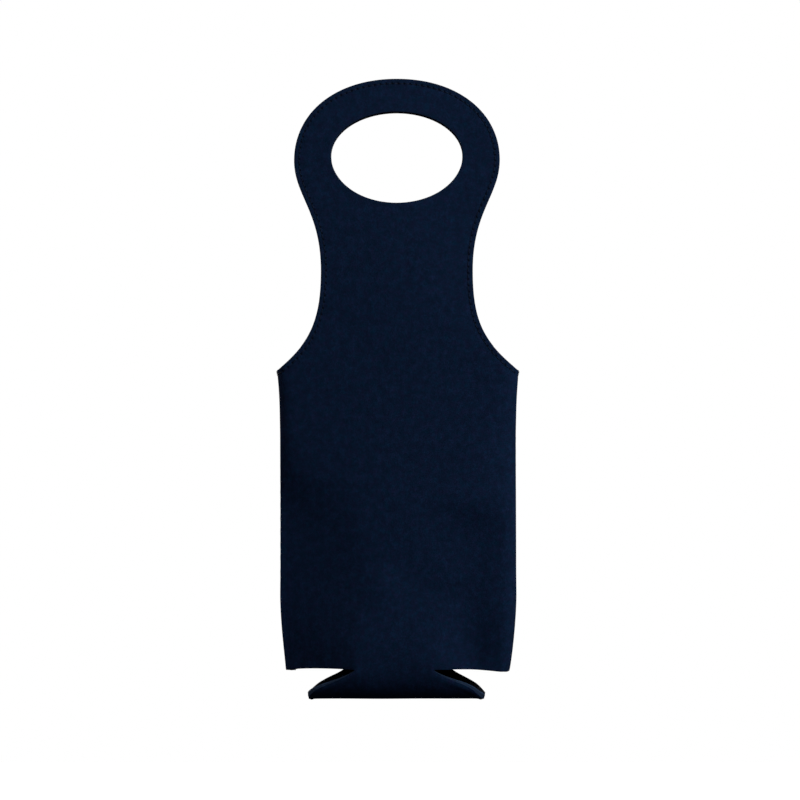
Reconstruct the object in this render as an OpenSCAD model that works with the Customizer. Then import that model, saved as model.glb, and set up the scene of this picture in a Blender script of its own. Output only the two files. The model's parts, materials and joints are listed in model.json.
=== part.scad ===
// Padded bottle carrier: a neoprene sleeve with two ring handles and an open, slung foot.
// One strip of faced neoprene makes the front panel, the foot and the back panel. It is
// split here where it bends: at the foot, and at the line where the handles fold outwards.
// Heights are measured from the underside of the foot. The finished part is then lowered,
// so that its origin is where a hand or hook holds it, at the top of the hand holes.

/* [Body] */
// Height of the handle tops above the underside of the foot
carrier_height = 360.2; // [330:1:420]
// Width of the body, from side seam to side seam
body_width = 137.2; // [120:1:160]
// Width across the shoulder corners, where the side seams end
shoulder_width = 140; // [138:1:165]
// Height of the shoulder corners
shoulder_height = 190.8; // [178:1:196]
// Width across the lower ends of the side seams
hem_width = 129.4; // [110:1:136]
// Height of the lower ends of the side seams
hem_height = 16.4; // [12:0.2:19]
// Height below which the sides draw in towards the hem
draw_in_height = 62; // [45:1:90]
// Length over which the sides spread towards the shoulders
spread_length = 25.8; // [15:0.2:50]

/* [Laminate] */
// Thickness of the knit cover on the outside
cover_thickness = 0.5; // [0.3:0.1:1]
// Thickness of the neoprene foam
foam_thickness = 2.6; // [1.5:0.1:4]
// Thickness of the knit lining on the inside
lining_thickness = 0.4; // [0.3:0.1:1]
// Width of the turned side seam, where the front meets the back
seam_width = 4.5; // [3:0.5:8]

/* [Pocket] */
// Clear space between the two linings while the carrier hangs empty
pocket_gap = 10; // [7:0.5:16]
// Height at which the panels have closed in from the foot to that space
flare_height = 78; // [60:1:110]

/* [Foot] */
// Outside radius of the bend under the foot
foot_radius = 18.9; // [16:0.1:24]
// Length of the foot's oval from side to side
foot_length = 103; // [80:1:110]
// Width of the strips that join the foot to the two panels
strip_width = 46; // [24:1:56]
// Length of those strips round the bend, from the panel to where the foot spreads
strip_length = 0.5; // [0.3:0.1:6]

/* [Handles] */
// Rise from the shoulder corners to the line where a handle folds outwards
fold_rise = 18.2; // [13:0.2:25]
// Space between the two handle tops at rest
handle_gap = 1.2; // [1:0.1:4]
// Width of a handle at the waist below its ring
waist_width = 87.7; // [76:1:100]
// Rise from the shoulder corners to the waist
waist_rise = 57.8; // [50:0.2:65]
// Width of the ring
ring_width = 119; // [105:1:136]
// Drop from the handle's top to where the ring is widest
ring_drop = 47.2; // [40:0.2:58]
// Width of the hand hole
hole_width = 76.8; // [60:1:84]
// Height of the hand hole from its lower to its upper edge
hole_span = 53.3; // [40:1:60]
// Drop from the hole's upper edge to where it is widest
hole_drop = 25.3; // [18:0.1:32]
// Height of the cloth above the hand hole
crown_band = 19; // [14:0.2:26]

/* [Stitching] */
// Distance of the stitch line from the cut edge
stitch_inset = 2.9; // [2:0.1:5]
// Width of the stitch line's thread
thread_width = 0.8; // [0.5:0.1:1.2]
// Height of the thread above the cloth
thread_rise = 0.35; // [0.2:0.05:0.35]
// Radius of the thread bead inside each side seam
bead_radius = 0.6; // [0.4:0.1:0.7]

/* [Clearances] */
// Clearance between a fold's round edge and the panel below it
fold_clearance = 0.3; // [0.2:0.1:0.8]
// Clearance of a thread from the curved cloth that it lies on
thread_clearance = 0.15; // [0.1:0.05:0.3]

/* [Hidden] */

// Counts of facets
arc_facets = 96;
curve_steps = 20;
flare_rows = 8;
spread_rows = 3;
mouth_rows = 6;
edge_columns = 8;
bead_sides = 6;
seam_steps = 16;
run_steps = 7;

// Places of the four surfaces that bound the three layers, from the outside inwards
laminate = cover_thickness + foam_thickness + lining_thickness;
layer_depths = [0, cover_thickness, cover_thickness + foam_thickness, laminate];
cover_layer = 0;
foam_layer = 1;
lining_layer = 2;

// How far each surface's edge stands in from the seam
seam_insets = layer_depths * seam_width / laminate;

// Heights and half widths that follow from the sizes above
strip_half = strip_width / 2;
shoulder_half = shoulder_width / 2;
spread_height = shoulder_height - spread_length;
fold_height = shoulder_height + fold_rise;
waist_height = shoulder_height + waist_rise;
ring_height = carrier_height - ring_drop;
hole_top = carrier_height - crown_band;
hole_height = hole_top - hole_drop;
rest_half_depth = pocket_gap / 2 + laminate;
foot_mid_radius = foot_radius - laminate / 2;
foot_reach = foot_mid_radius * PI / 2 - strip_length;
panel_top = fold_height - laminate / 2 - fold_clearance;
hem_drop = foot_radius - hem_height;

// The hinge lies halfway through the laminate, and the handle leans in from there
hinge_depth = rest_half_depth - laminate / 2;
handle_reach = carrier_height - fold_height;
handle_lean = asin((pocket_gap - handle_gap) / 2 / handle_reach);
grip_height = fold_height + (hole_top - fold_height) * cos(handle_lean);

// Exponents of the rounded outlines
draw_in_power = 1.6;
spread_power = 2;
hem_roundness = 2;
body_roundness = 3;

// The mouth's rows crowd towards the shoulder corner by this power
mouth_row_power = 1.3;

// Pulls of the handle's outline curves, as shares of the width and height each one spans
crown_pull_shares = [0.62, 0.56];
flank_pull_shares = [0.32, 0.54];
armhole_pull_shares = [0.515, 0.74, 0.27];

// Pulls of the foot's outline, as shares of its spread beyond the strips and of its reach
foot_pull_shares = [1, 0.72, 0.1, 0.825];

// A cut runs this far past the solid that it cuts, in laminate thicknesses
overrun = 2 * laminate;

function smooth(t) = let (c = min(1, max(0, t))) c * c * (3 - 2 * c);

function unit(v) = v / norm(v);

function reversed(list) = [for (i = [len(list) - 1 : -1 : 0]) list[i]];

function mirrored(points) = [for (p = points) [-p.x, p.y]];

function bezier(a, b, c, d, t) =
    pow(1 - t, 3) * a + 3 * pow(1 - t, 2) * t * b + 3 * (1 - t) * t * t * c + pow(t, 3) * d;

function curve(a, b, c, d) = [for (i = [0 : curve_steps - 1]) bezier(a, b, c, d, i / curve_steps)];

// Right half of the handle's outline, seen from the front: down from the middle of the
// crown over the ring's flank and the waist to the shoulder corner
crown_point = [0, carrier_height];
flank_point = [ring_width / 2, ring_height];
waist_point = [waist_width / 2, waist_height];
shoulder_point = [shoulder_half, shoulder_height];
flank_rise = ring_height - waist_height;
armhole_spread = shoulder_half - waist_width / 2;
crown_curve = curve(
    crown_point,
    crown_point + [flank_point.x * crown_pull_shares[0], 0],
    flank_point + [0, ring_drop * crown_pull_shares[1]],
    flank_point
);
flank_curve = curve(
    flank_point,
    flank_point - [0, flank_rise * flank_pull_shares[0]],
    waist_point + [0, flank_rise * flank_pull_shares[1]],
    waist_point
);
armhole_curve = curve(
    waist_point,
    waist_point - [0, waist_rise * armhole_pull_shares[0]],
    shoulder_point + [-armhole_spread * armhole_pull_shares[1], waist_rise * armhole_pull_shares[2]],
    shoulder_point
);
half_outline = concat(crown_curve, flank_curve, armhole_curve, [shoulder_point]);
armhole_widths = [for (p = concat(armhole_curve, [shoulder_point])) [p.y, p.x]];

// Half outline moved in from the cut edge
function inset_outline(inset) = [
    for (i = [1 : len(half_outline) - 1])
        let (along = unit(half_outline[min(i + 1, len(half_outline) - 1)] - half_outline[i - 1]))
        half_outline[i] + inset * [along.y, -along.x]
];

function raised(points) = [for (p = points) [p.x, p.y - fold_height]];

// Outline of the panel and handle from seam to seam, closed across the shoulders
handle_outline = raised(concat(half_outline, reversed(mirrored(half_outline))));

hole_outline = [
    for (i = [0 : arc_facets - 1])
        let (
            a = i * 360 / arc_facets,
            reach = sin(a) > 0 ? hole_drop : hole_span - hole_drop
        )
        [hole_width / 2 * cos(a), hole_height - fold_height + reach * sin(a)]
];

// Half depth of the carrier's outside at a height
function half_depth(z) =
    rest_half_depth
    + (foot_radius - rest_half_depth) * (1 - smooth((z - foot_radius) / (flare_height - foot_radius)));

// Half width of the carrier's outside at a height
function half_width(z) =
    z < draw_in_height
        ? (body_width
            - (body_width - hem_width)
            * pow((draw_in_height - z) / (draw_in_height - hem_height), draw_in_power)) / 2
    : z < spread_height ? body_width / 2
    : z < shoulder_height
        ? (body_width
            + (shoulder_width - body_width)
            * pow((z - spread_height) / spread_length, spread_power)) / 2
    : shoulder_half;

function roundness(z) =
    hem_roundness
    + (body_roundness - hem_roundness) * smooth((z - foot_radius) / (flare_height - foot_radius));

// How far the mouth has opened from the shoulder corner towards the fold line
function mouth_share(z) = smooth((z - shoulder_height) / (panel_top - shoulder_height));

// Half width of one surface, cut back to the armhole above the shoulder
function edge_half(z, surface) =
    let (seam_half = half_width(z) - seam_insets[surface])
    z > shoulder_height ? min(seam_half, lookup(z, armhole_widths)) : seam_half;

// Depth of one surface at a width and height
function surface_depth(x, z, surface) =
    let (
        reach = (abs(x) - strip_half) / (half_width(z) - seam_insets[surface] - strip_half),
        round_share = sqrt(max(0, 1 - pow(min(1, max(0, reach)), roundness(z)))),
        open_share = mouth_share(z)
    )
    (half_depth(z) - layer_depths[surface]) * (round_share * (1 - open_share) + open_share);

// Heights of the panel's rows from hem to fold
flare_levels = [
    for (i = [0 : flare_rows]) foot_radius + (flare_height - foot_radius) * i / flare_rows
];
belly_levels = [(flare_height + spread_height) / 2];
spread_levels = [
    for (i = [0 : spread_rows]) spread_height + spread_length * i / spread_rows
];
mouth_levels = [
    for (i = [1 : mouth_rows])
        shoulder_height + (panel_top - shoulder_height) * pow(i / mouth_rows, mouth_row_power)
];
row_levels = concat(flare_levels, belly_levels, spread_levels, mouth_levels);
row_count = len(row_levels);

// Angles that space the columns from the flat middle, 0, to the seam, 90 degrees
right_angles = [for (i = [0 : edge_columns]) 90 * i / edge_columns];
column_angles = concat(reversed(right_angles), right_angles);
column_count = len(column_angles);

// A point of one surface of the front panel
function panel_point(surface, row, column) =
    let (
        level = row_levels[row],
        angle = column_angles[column],
        side = column < column_count / 2 ? -1 : 1,
        x = strip_half + (edge_half(level, surface) - strip_half) * pow(sin(angle), 2 / roundness(level)),
        y = surface_depth(x, level, surface),
        z = row == 0 ? level - hem_drop * (1 - cos(angle)) : level
    )
    [side * x, -y, z];

// One square of a panel's mesh as two triangles, cut the same way on both of its faces
function square_faces(a, b, c, d, leans_left) =
    leans_left ? [[a, b, c], [a, c, d]] : [[a, b, d], [b, c, d]];

function turned(faces) = [for (f = faces) [f[2], f[1], f[0]]];

// A layer of the front panel, between two neighbouring surfaces
module panel_layer(layer) {
    surface_size = row_count * column_count;
    points = [
        for (surface = [layer, layer + 1])
            for (row = [0 : row_count - 1])
                for (column = [0 : column_count - 1]) panel_point(surface, row, column)
    ];
    outside = [
        for (row = [0 : row_count - 2])
            for (column = [0 : column_count - 2])
                let (a = row * column_count + column, b = a + column_count)
                each square_faces(a, b, b + 1, a + 1, column < column_count / 2)
    ];
    inside = [for (f = turned(outside)) [for (i = f) i + surface_size]];
    rim = concat(
        [for (row = [0 : row_count - 1]) row * column_count],
        [for (column = [1 : column_count - 1]) (row_count - 1) * column_count + column],
        [for (row = [row_count - 2 : -1 : 0]) row * column_count + column_count - 1],
        [for (column = [column_count - 2 : -1 : 1]) column]
    );
    edge = [
        for (i = [0 : len(rim) - 1])
            let (p = rim[i], q = rim[(i + 1) % len(rim)])
            each [[q, p, p + surface_size], [q, p + surface_size, q + surface_size]]
    ];
    polyhedron(points, concat(outside, inside, edge));
}

// Right half of the foot's outline, from the middle of the foot to the strip: its half width
// and its distance round the bend
foot_point = [foot_length / 2, 0];
neck_point = [strip_half, foot_reach];
foot_spread = foot_length / 2 - strip_half;
foot_curve = curve(
    foot_point,
    [strip_half + foot_spread * foot_pull_shares[0], foot_reach * foot_pull_shares[1]],
    [strip_half + foot_spread * foot_pull_shares[2], foot_reach * foot_pull_shares[3]],
    neck_point
);

// Height at a distance round the bend from the middle of the foot
function bend_height(s) = foot_radius - foot_mid_radius * cos(s / foot_mid_radius * 180 / PI);

foot_side = concat(
    [for (p = concat(foot_curve, [neck_point])) [p.x, bend_height(p.y)]],
    [[strip_half, foot_radius]]
);
foot_outline = concat(
    [[foot_length / 2, -overrun]],
    foot_side,
    reversed(mirrored(foot_side)),
    [[-foot_length / 2, -overrun]]
);

// A layer of the foot, bent round a bar that runs from side to side
module foot_layer(layer) {
    intersection() {
        translate([0, 0, foot_radius])
            rotate([0, 90, 0])
                difference() {
                    cylinder(
                        r = foot_radius - layer_depths[layer],
                        h = foot_length + overrun, center = true, $fn = arc_facets
                    );
                    cylinder(
                        r = foot_radius - layer_depths[layer + 1],
                        h = foot_length + 2 * overrun, center = true, $fn = arc_facets
                    );
                }
        rotate([90, 0, 0])
            linear_extrude(height = 2 * foot_radius + overrun, center = true)
                polygon(foot_outline);
    }
}

// Puts a front handle's own frame, with its height from the fold line, in its place
module at_fold() {
    translate([0, -hinge_depth, fold_height]) rotate([-handle_lean, 0, 0]) children();
}

// Section through a handle: straight sides on a half-round edge about the fold line
module handle_section() {
    circle(r = laminate / 2, $fn = arc_facets);
    translate([-laminate / 2, 0]) square([laminate, handle_reach + overrun]);
}

// A layer of a handle, from the fold line to the crown
module handle_layer(layer) {
    outer_face = layer_depths[layer] - laminate / 2;
    thickness = layer_depths[layer + 1] - layer_depths[layer];
    at_fold()
        intersection() {
            translate([0, outer_face + thickness, 0])
                rotate([90, 0, 0])
                    linear_extrude(height = thickness)
                        difference() {
                            polygon(handle_outline);
                            polygon(hole_outline);
                        }
            rotate([90, 0, 90])
                linear_extrude(height = shoulder_width + overrun, center = true)
                    handle_section();
        }
}

// Stitch line round a handle, along its cut edge from fold to fold
function thread_side(inset) = [for (p = raised(inset_outline(inset))) if (p.y > laminate / 2) p];

module handle_thread() {
    outer_side = thread_side(stitch_inset - thread_width / 2);
    inner_side = thread_side(stitch_inset + thread_width / 2);
    linear_extrude(height = thread_rise)
        polygon(concat(
            reversed(outer_side), mirrored(outer_side),
            reversed(mirrored(inner_side)), inner_side
        ));
}

// Needle thread on the cover and bobbin thread on the lining
module handle_stitching() {
    at_fold() {
        translate([0, -laminate / 2, 0]) rotate([90, 0, 0]) handle_thread();
        translate([0, laminate / 2 + thread_rise, 0]) rotate([90, 0, 0]) handle_thread();
    }
}

// A round thread along a list of points
module thread_run(path, radius) {
    last = len(path) - 1;
    points = [
        for (i = [0 : last])
            let (
                along = unit(path[min(i + 1, last)] - path[max(i - 1, 0)]),
                across = unit(cross(along, [0, 1, 0])),
                up = cross(across, along)
            )
            for (j = [0 : bead_sides - 1])
                let (a = 360 * j / bead_sides)
                path[i] + radius * (cos(a) * across + sin(a) * up)
    ];
    sides = [
        for (i = [0 : last - 1])
            for (j = [0 : bead_sides - 1])
                let (
                    a = i * bead_sides + j,
                    b = i * bead_sides + (j + 1) % bead_sides
                )
                each [[a, b, b + bead_sides], [a, b + bead_sides, a + bead_sides]]
    ];
    start_cap = [for (j = [bead_sides - 1 : -1 : 0]) j];
    end_cap = [for (j = [0 : bead_sides - 1]) last * bead_sides + j];
    polyhedron(points, concat(sides, [start_cap, end_cap]));
}

// The overlocked thread that closes a side seam, in the pocket's inner corner
module side_seam() {
    bead_gap = bead_radius + thread_clearance;
    thread_run(
        [
            for (i = [0 : seam_steps])
                let (z = hem_height + (shoulder_height - hem_height) * i / seam_steps)
                [half_width(z) - seam_width - bead_gap, 0, z]
        ],
        bead_radius
    );
}

// Right-hand stitch run on one surface of the front panel, from the shoulder to the fold
module shoulder_run(surface, stand_off) {
    start_height = shoulder_height + seam_width;
    end_height = panel_top - thread_width;
    line = [for (p = reversed(inset_outline(stitch_inset))) [p.y, p.x]];
    thread_run(
        [
            for (i = [0 : run_steps])
                let (
                    z = start_height + (end_height - start_height) * i / run_steps,
                    x = lookup(z, line)
                )
                [x, -surface_depth(x, z, surface) - stand_off, z]
        ],
        thread_width / 2
    );
}

module shoulder_stitching() {
    stand_off = thread_width / 2 + thread_clearance;
    for (side = [0, 1]) mirror([side, 0, 0]) {
        shoulder_run(cover_layer, stand_off);
        shoulder_run(lining_layer + 1, -stand_off);
    }
}

// Moves the origin to the grip, at the top of the hand holes
module hung() {
    translate([0, 0, -grip_height]) children();
}

module back() {
    mirror([0, 1, 0]) children();
}

module cover_color() {
    color("#0b1627") children();
}

module foam_color() {
    color("#15181d") children();
}

module lining_color() {
    color("#090d14") children();
}

module thread_color() {
    color("#070d1a") children();
}

module front_panel_cover() {
    cover_color() hung() panel_layer(cover_layer);
}

module front_panel_foam() {
    foam_color() hung() panel_layer(foam_layer);
}

module front_panel_lining() {
    lining_color() hung() panel_layer(lining_layer);
}

module back_panel_cover() {
    cover_color() back() hung() panel_layer(cover_layer);
}

module back_panel_foam() {
    foam_color() back() hung() panel_layer(foam_layer);
}

module back_panel_lining() {
    lining_color() back() hung() panel_layer(lining_layer);
}

module base_cover() {
    cover_color() hung() foot_layer(cover_layer);
}

module base_foam() {
    foam_color() hung() foot_layer(foam_layer);
}

module base_lining() {
    lining_color() hung() foot_layer(lining_layer);
}

module left_side_seam() {
    thread_color() hung() mirror([1, 0, 0]) side_seam();
}

module right_side_seam() {
    thread_color() hung() side_seam();
}

module front_shoulder_stitching() {
    thread_color() hung() shoulder_stitching();
}

module back_shoulder_stitching() {
    thread_color() back() hung() shoulder_stitching();
}

module front_handle_cover() {
    cover_color() hung() handle_layer(cover_layer);
}

module front_handle_foam() {
    foam_color() hung() handle_layer(foam_layer);
}

module front_handle_lining() {
    lining_color() hung() handle_layer(lining_layer);
}

module front_handle_stitching() {
    thread_color() hung() handle_stitching();
}

module back_handle_cover() {
    cover_color() back() hung() handle_layer(cover_layer);
}

module back_handle_foam() {
    foam_color() back() hung() handle_layer(foam_layer);
}

module back_handle_lining() {
    lining_color() back() hung() handle_layer(lining_layer);
}

module back_handle_stitching() {
    thread_color() back() hung() handle_stitching();
}

front_panel_cover();
front_panel_foam();
front_panel_lining();
back_panel_cover();
back_panel_foam();
back_panel_lining();
base_cover();
base_foam();
base_lining();
left_side_seam();
right_side_seam();
front_shoulder_stitching();
back_shoulder_stitching();
front_handle_cover();
front_handle_foam();
front_handle_lining();
front_handle_stitching();
back_handle_cover();
back_handle_foam();
back_handle_lining();
back_handle_stitching();
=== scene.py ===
"""Dresses the bottle carrier: knit-faced neoprene, its stitching, the studio and the camera.

The carrier has a front half and a back half of one sewing pattern. Each half is drawn flat, in
cloth coordinates: c runs across the cloth from its middle, and v runs up it, in millimetres.
Above the foot's bend v is the height above the underside of the foot, and below it v goes on
down round the bend to the middle of the foot. place() lays such a point in space.
"""

import json
import math

import bpy
import numpy as np
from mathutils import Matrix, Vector
from mathutils.geometry import delaunay_2d_cdt

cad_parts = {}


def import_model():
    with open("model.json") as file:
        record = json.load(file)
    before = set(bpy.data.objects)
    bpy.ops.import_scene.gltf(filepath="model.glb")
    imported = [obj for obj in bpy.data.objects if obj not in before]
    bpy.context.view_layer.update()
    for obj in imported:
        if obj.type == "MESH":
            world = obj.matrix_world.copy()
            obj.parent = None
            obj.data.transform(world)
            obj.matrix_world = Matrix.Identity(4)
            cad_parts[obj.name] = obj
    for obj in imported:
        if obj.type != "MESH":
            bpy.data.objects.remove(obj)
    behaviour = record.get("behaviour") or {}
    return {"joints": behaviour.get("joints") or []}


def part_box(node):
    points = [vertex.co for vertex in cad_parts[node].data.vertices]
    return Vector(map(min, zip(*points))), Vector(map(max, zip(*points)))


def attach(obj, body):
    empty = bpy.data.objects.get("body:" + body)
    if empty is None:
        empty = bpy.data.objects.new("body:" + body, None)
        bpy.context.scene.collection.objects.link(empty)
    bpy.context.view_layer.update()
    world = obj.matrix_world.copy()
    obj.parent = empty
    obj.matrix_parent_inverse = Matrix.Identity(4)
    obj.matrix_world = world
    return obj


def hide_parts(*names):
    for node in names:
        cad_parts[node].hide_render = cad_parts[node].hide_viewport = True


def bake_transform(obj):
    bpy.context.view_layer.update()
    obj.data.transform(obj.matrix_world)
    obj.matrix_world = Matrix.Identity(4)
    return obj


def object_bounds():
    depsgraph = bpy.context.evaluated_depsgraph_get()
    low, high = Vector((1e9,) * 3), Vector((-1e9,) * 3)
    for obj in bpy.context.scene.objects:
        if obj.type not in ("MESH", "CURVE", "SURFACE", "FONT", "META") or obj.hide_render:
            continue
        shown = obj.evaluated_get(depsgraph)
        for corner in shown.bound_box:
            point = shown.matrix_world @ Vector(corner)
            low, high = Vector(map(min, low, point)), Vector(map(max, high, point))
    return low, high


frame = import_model()
CAD_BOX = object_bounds()
MM = 0.001


# Sizes that the frame gives, in millimetres
def node_box(node):
    """Lowest and highest corner of a CAD node, in millimetres."""
    low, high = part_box(node)
    return np.array(low) / MM, np.array(high) / MM


BASE_COVER_BOX = node_box("base_cover")
BASE_FOAM_BOX = node_box("base_foam")
BASE_LINING_BOX = node_box("base_lining")
PANEL_BOX = node_box("front_panel_cover")
FOLD_POINT = np.array(frame["joints"][0]["pos_m"]) / MM

GROUND = BASE_COVER_BOX[0][2]
FOOT_RADIUS = BASE_COVER_BOX[1][2] - GROUND
FOOT_HALF_LENGTH = BASE_COVER_BOX[1][0]
COVER_THICKNESS = FOOT_RADIUS - BASE_FOAM_BOX[1][1]
FOAM_THICKNESS = BASE_FOAM_BOX[1][1] - BASE_LINING_BOX[1][1]
SHOULDER_HALF = PANEL_BOX[1][0]
HEM_HEIGHT = PANEL_BOX[0][2] - GROUND
PANEL_TOP = PANEL_BOX[1][2] - GROUND
FOLD_HEIGHT = FOLD_POINT[2] - GROUND
HINGE_DEPTH = abs(FOLD_POINT[1])

# Sizes of the body and the pocket
LINING_THICKNESS = 0.4
LAMINATE = COVER_THICKNESS + FOAM_THICKNESS + LINING_THICKNESS
# Depths below the outside of the layers' faces
DEPTHS = (0.0, COVER_THICKNESS, COVER_THICKNESS + FOAM_THICKNESS, LAMINATE)
CARRIER_HEIGHT = 360.2
BODY_WIDTH = 137.2
HEM_WIDTH = 129.4
SHOULDER_HEIGHT = 190.8
DRAW_IN_HEIGHT = 62.0
SPREAD_LENGTH = 25.8
FLARE_HEIGHT = 78.0
SEAM_WIDTH = 4.5
SPREAD_HEIGHT = SHOULDER_HEIGHT - SPREAD_LENGTH
REST_HALF_DEPTH = HINGE_DEPTH + LAMINATE / 2
DRAW_IN_POWER = 1.6
SPREAD_POWER = 2.0
HEM_ROUNDNESS = 2.0
BODY_ROUNDNESS = 3.0
SHOULDER_ROUNDNESS = 12.0
SHOULDER_REACH = 40.0

# Sizes of the foot
STRIP_HALF = 23.0
STRIP_LENGTH = 0.5
BEND_ROUNDNESS = 2.25
FOOT_PULL_SHARES = (0.544, 0.613, 0.976, 0.72)
NOTCH_START = FOOT_RADIUS - 0.2
NOTCH_SLOPE = 0.3
TIP_BEVEL = 0.6
TIP_REACH = 9.0
# How far the foot of each half lies off to the right, how much wider each side of it is, and how
# much wider each side of the strip is on top of that
FOOT_SLIDES = {"front": (-1.9, 0.2, -0.5), "back": (0.2, -0.5, 4.6)}
SLIDE_RISE = 14.0
FLARE_DROP = 12.0
SLIDE_FADE = 25.0

# Sizes of the handles
HANDLE_GAP = 1.2
WAIST_HALF = 43.85
WAIST_HEIGHT = 248.6
RING_HALF = 59.5
RING_HEIGHT = 313.0
HOLE_HALF_WIDTH = 38.4
HOLE_RISE = 25.3
HOLE_FALL = 28.0
HOLE_HEIGHT = 315.9
POCKET_GAP = 2 * (REST_HALF_DEPTH - LAMINATE)
HANDLE_LEAN = math.asin((POCKET_GAP - HANDLE_GAP) / 2 / (CARRIER_HEIGHT - FOLD_HEIGHT))
LEAN_REACH = FOLD_HEIGHT - PANEL_TOP
# How far the control points of each curve are drawn out, as shares of its reach
CROWN_PULL_SHARES = (0.62, 0.56)
FLANK_PULL_SHARES = (0.32, 0.54)
ARMHOLE_PULL_SHARES = (0.515, 0.74, 0.27)

# Spacing of the mesh
CURVE_SAMPLES = 200
ARC_SAMPLES = 160
BEND_SAMPLES = 400
GRID_STEP = 4.0
GRID_COLUMNS = 22
OUTER_STEP = 0.9
RAW_EDGE_STEP = 1.3
HOLE_STEP = 1.6
SEAM_STEP = 2.2
# The step that slopes are measured over, and the distance within which a point is on an edge
PROBE = 0.02
# Distances from each edge at which rows of points run beside it
OUTER_INSETS = (0.35, 0.9, 1.6, 2.2, 2.9, 3.6, 4.4, 5.6, 7.6)
SEAM_INSETS = (0.4, 0.9, 1.6, 2.6, 4.4)
HEM_INSETS = (0.35, 0.9, 1.8, 3.2, 5.2)
FOOT_INSETS = (0.35, 0.7, 1.1, 1.6, 2.2, 3.2, 5.2)
HOLE_INSETS = (0.35, 0.9, 2.0, 4.0)
# Each point of the mesh keeps this share of its inset from every edge, and keeps clear of the
# other points by a gap that grows with its inset
INSET_SHARE = 0.85
LEAST_GAP = 0.3
GAP_GROWTH = 0.15
WIDEST_GAP = 0.8
LOOKUP_CELL = 1.0
WELD_REACH = 1e-6
# About how many points are measured from the edges at a time
CHUNK_SIZE = 2000
# The hand hole counts as open up to just short of its edge
HOLE_SHARE = 0.9999
SHARP_ANGLE = math.radians(45)
TINY = 1e-12

# Stitch line round the handles, one stitch from needle hole to needle hole
STITCH_INSET = 2.7
STITCH_STEP = 3.55
THREAD_RADIUS = 0.2
STITCH_END_GAP = 3.0
DIMPLE_REACH = 0.95

# Seams, edges and unevenness of the cloth
GROOVE_DEPTH = 0.2
GROOVE_REACH = 0.9
PUCKER_SHARE = 0.5
PUFF_HEIGHT = 0.1
PUFF_INSET = 1.3
PUFF_REACH = 0.8
ROLL_HEIGHT = 0.4
ROLL_INSET = 1.7
ROLL_REACH = 0.85
EDGE_ROUND = 0.03
EDGE_ROUND_REACH = 0.9
CREASE_DEPTH = 0.7
CREASE_REACH = 1.8
CREASE_PITCH = 3.1
SEAM_CLEARANCE = 0.03
FOAM_BULGE = 0.18
RIPPLE_HEIGHT = 0.28
RIPPLE_LENGTHS = (31.0, 43.0, 57.0, 76.0, 104.0)
RIPPLE_FADE = 10.0
# Swells of the cloth, and dents where the height is less than nothing: the place across and up
# the cloth, how far each reaches along its own two directions, its turn in degrees, its height
SWELLS = {
    "front": (
        (-14.0, 88.0, 32.0, 62.0, 0.0, 2.4),
        (64.0, 72.0, 16.0, 40.0, 0.0, 3.2),
        (45.0, 46.0, 12.0, 26.0, 10.0, -1.0),
        (44.0, 30.0, 14.0, 17.0, 8.0, -4.8),
        (-18.0, 17.0, 6.0, 9.0, 0.0, 0.5),
        (-10.0, 66.0, 10.0, 12.0, 30.0, 2.6),
        (30.0, 73.0, 20.0, 8.0, -8.0, 1.4),
        (8.0, 92.0, 13.0, 12.0, 0.0, 0.7),
        (40.0, 116.0, 22.0, 8.0, 0.0, 1.5),
        (42.0, 95.0, 18.0, 9.0, 0.0, -1.2),
        (20.0, 28.0, 12.0, 16.0, 0.0, 1.4),
        (10.0, 250.0, 40.0, 48.0, 0.0, 2.6),
        (62.0, 312.0, 20.0, 38.0, 0.0, 3.0),
    ),
    "back": (
        (10.0, 92.0, 34.0, 60.0, 0.0, 2.4),
        (-34.0, 48.0, 15.0, 36.0, -10.0, -1.6),
        (-8.0, 130.0, 24.0, 12.0, 25.0, 0.7),
    ),
}
# How far the left and the right side of each half, low down and high up, are drawn straight from
# the strip to the seam, or filled out to a square section where it is less than nothing
STRAIGHT_SHARES = {"front": ((1.0, -0.9), (-0.9, 0.0)), "back": ((0.3, -0.4), (-0.4, 0.0))}
STRAIGHT_HEIGHT = 100.0
STRAIGHT_FADE = 55.0
SQUARE_POWER = 24
LIP_HEIGHT = 0.5
LIP_INSET = 1.9
LIP_REACH = 1.3
SWAY = 0.36
SWAY_HEIGHTS = ((-5.0, 30.0), (180.0, 225.0))


def smooth(t):
    t = np.clip(t, 0.0, 1.0)
    return t * t * (3.0 - 2.0 * t)


# The carrier's form
def half_depth(z):
    flare = 1 - smooth((z - FOOT_RADIUS) / (FLARE_HEIGHT - FOOT_RADIUS))
    return REST_HALF_DEPTH + (FOOT_RADIUS - REST_HALF_DEPTH) * flare


def half_width(z):
    narrowing = np.clip((DRAW_IN_HEIGHT - z) / (DRAW_IN_HEIGHT - HEM_HEIGHT), 0, None)
    spread = np.clip((z - SPREAD_HEIGHT) / SPREAD_LENGTH, 0, 1)
    return (
        BODY_WIDTH / 2
        - (BODY_WIDTH - HEM_WIDTH) / 2 * narrowing ** DRAW_IN_POWER
        + (SHOULDER_HALF - BODY_WIDTH / 2) * spread ** SPREAD_POWER
    )


def roundness(z):
    above_hem = smooth((z - FOOT_RADIUS) / (FLARE_HEIGHT - FOOT_RADIUS))
    at_shoulder = smooth((z - SHOULDER_HEIGHT) / SHOULDER_REACH + 1)
    body = BODY_ROUNDNESS + (SHOULDER_ROUNDNESS - BODY_ROUNDNESS) * at_shoulder
    return HEM_ROUNDNESS + (body - HEM_ROUNDNESS) * above_hem


def mouth_share(z):
    """How far the mouth has opened from the shoulder corners towards the fold."""
    return smooth((z - SHOULDER_HEIGHT) / (PANEL_TOP - SHOULDER_HEIGHT))


def rounded(share, z):
    """Depth of the rounded section as a share of its full depth."""
    return np.sqrt(np.clip(1 - share ** roundness(z), 0, 1))


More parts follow.
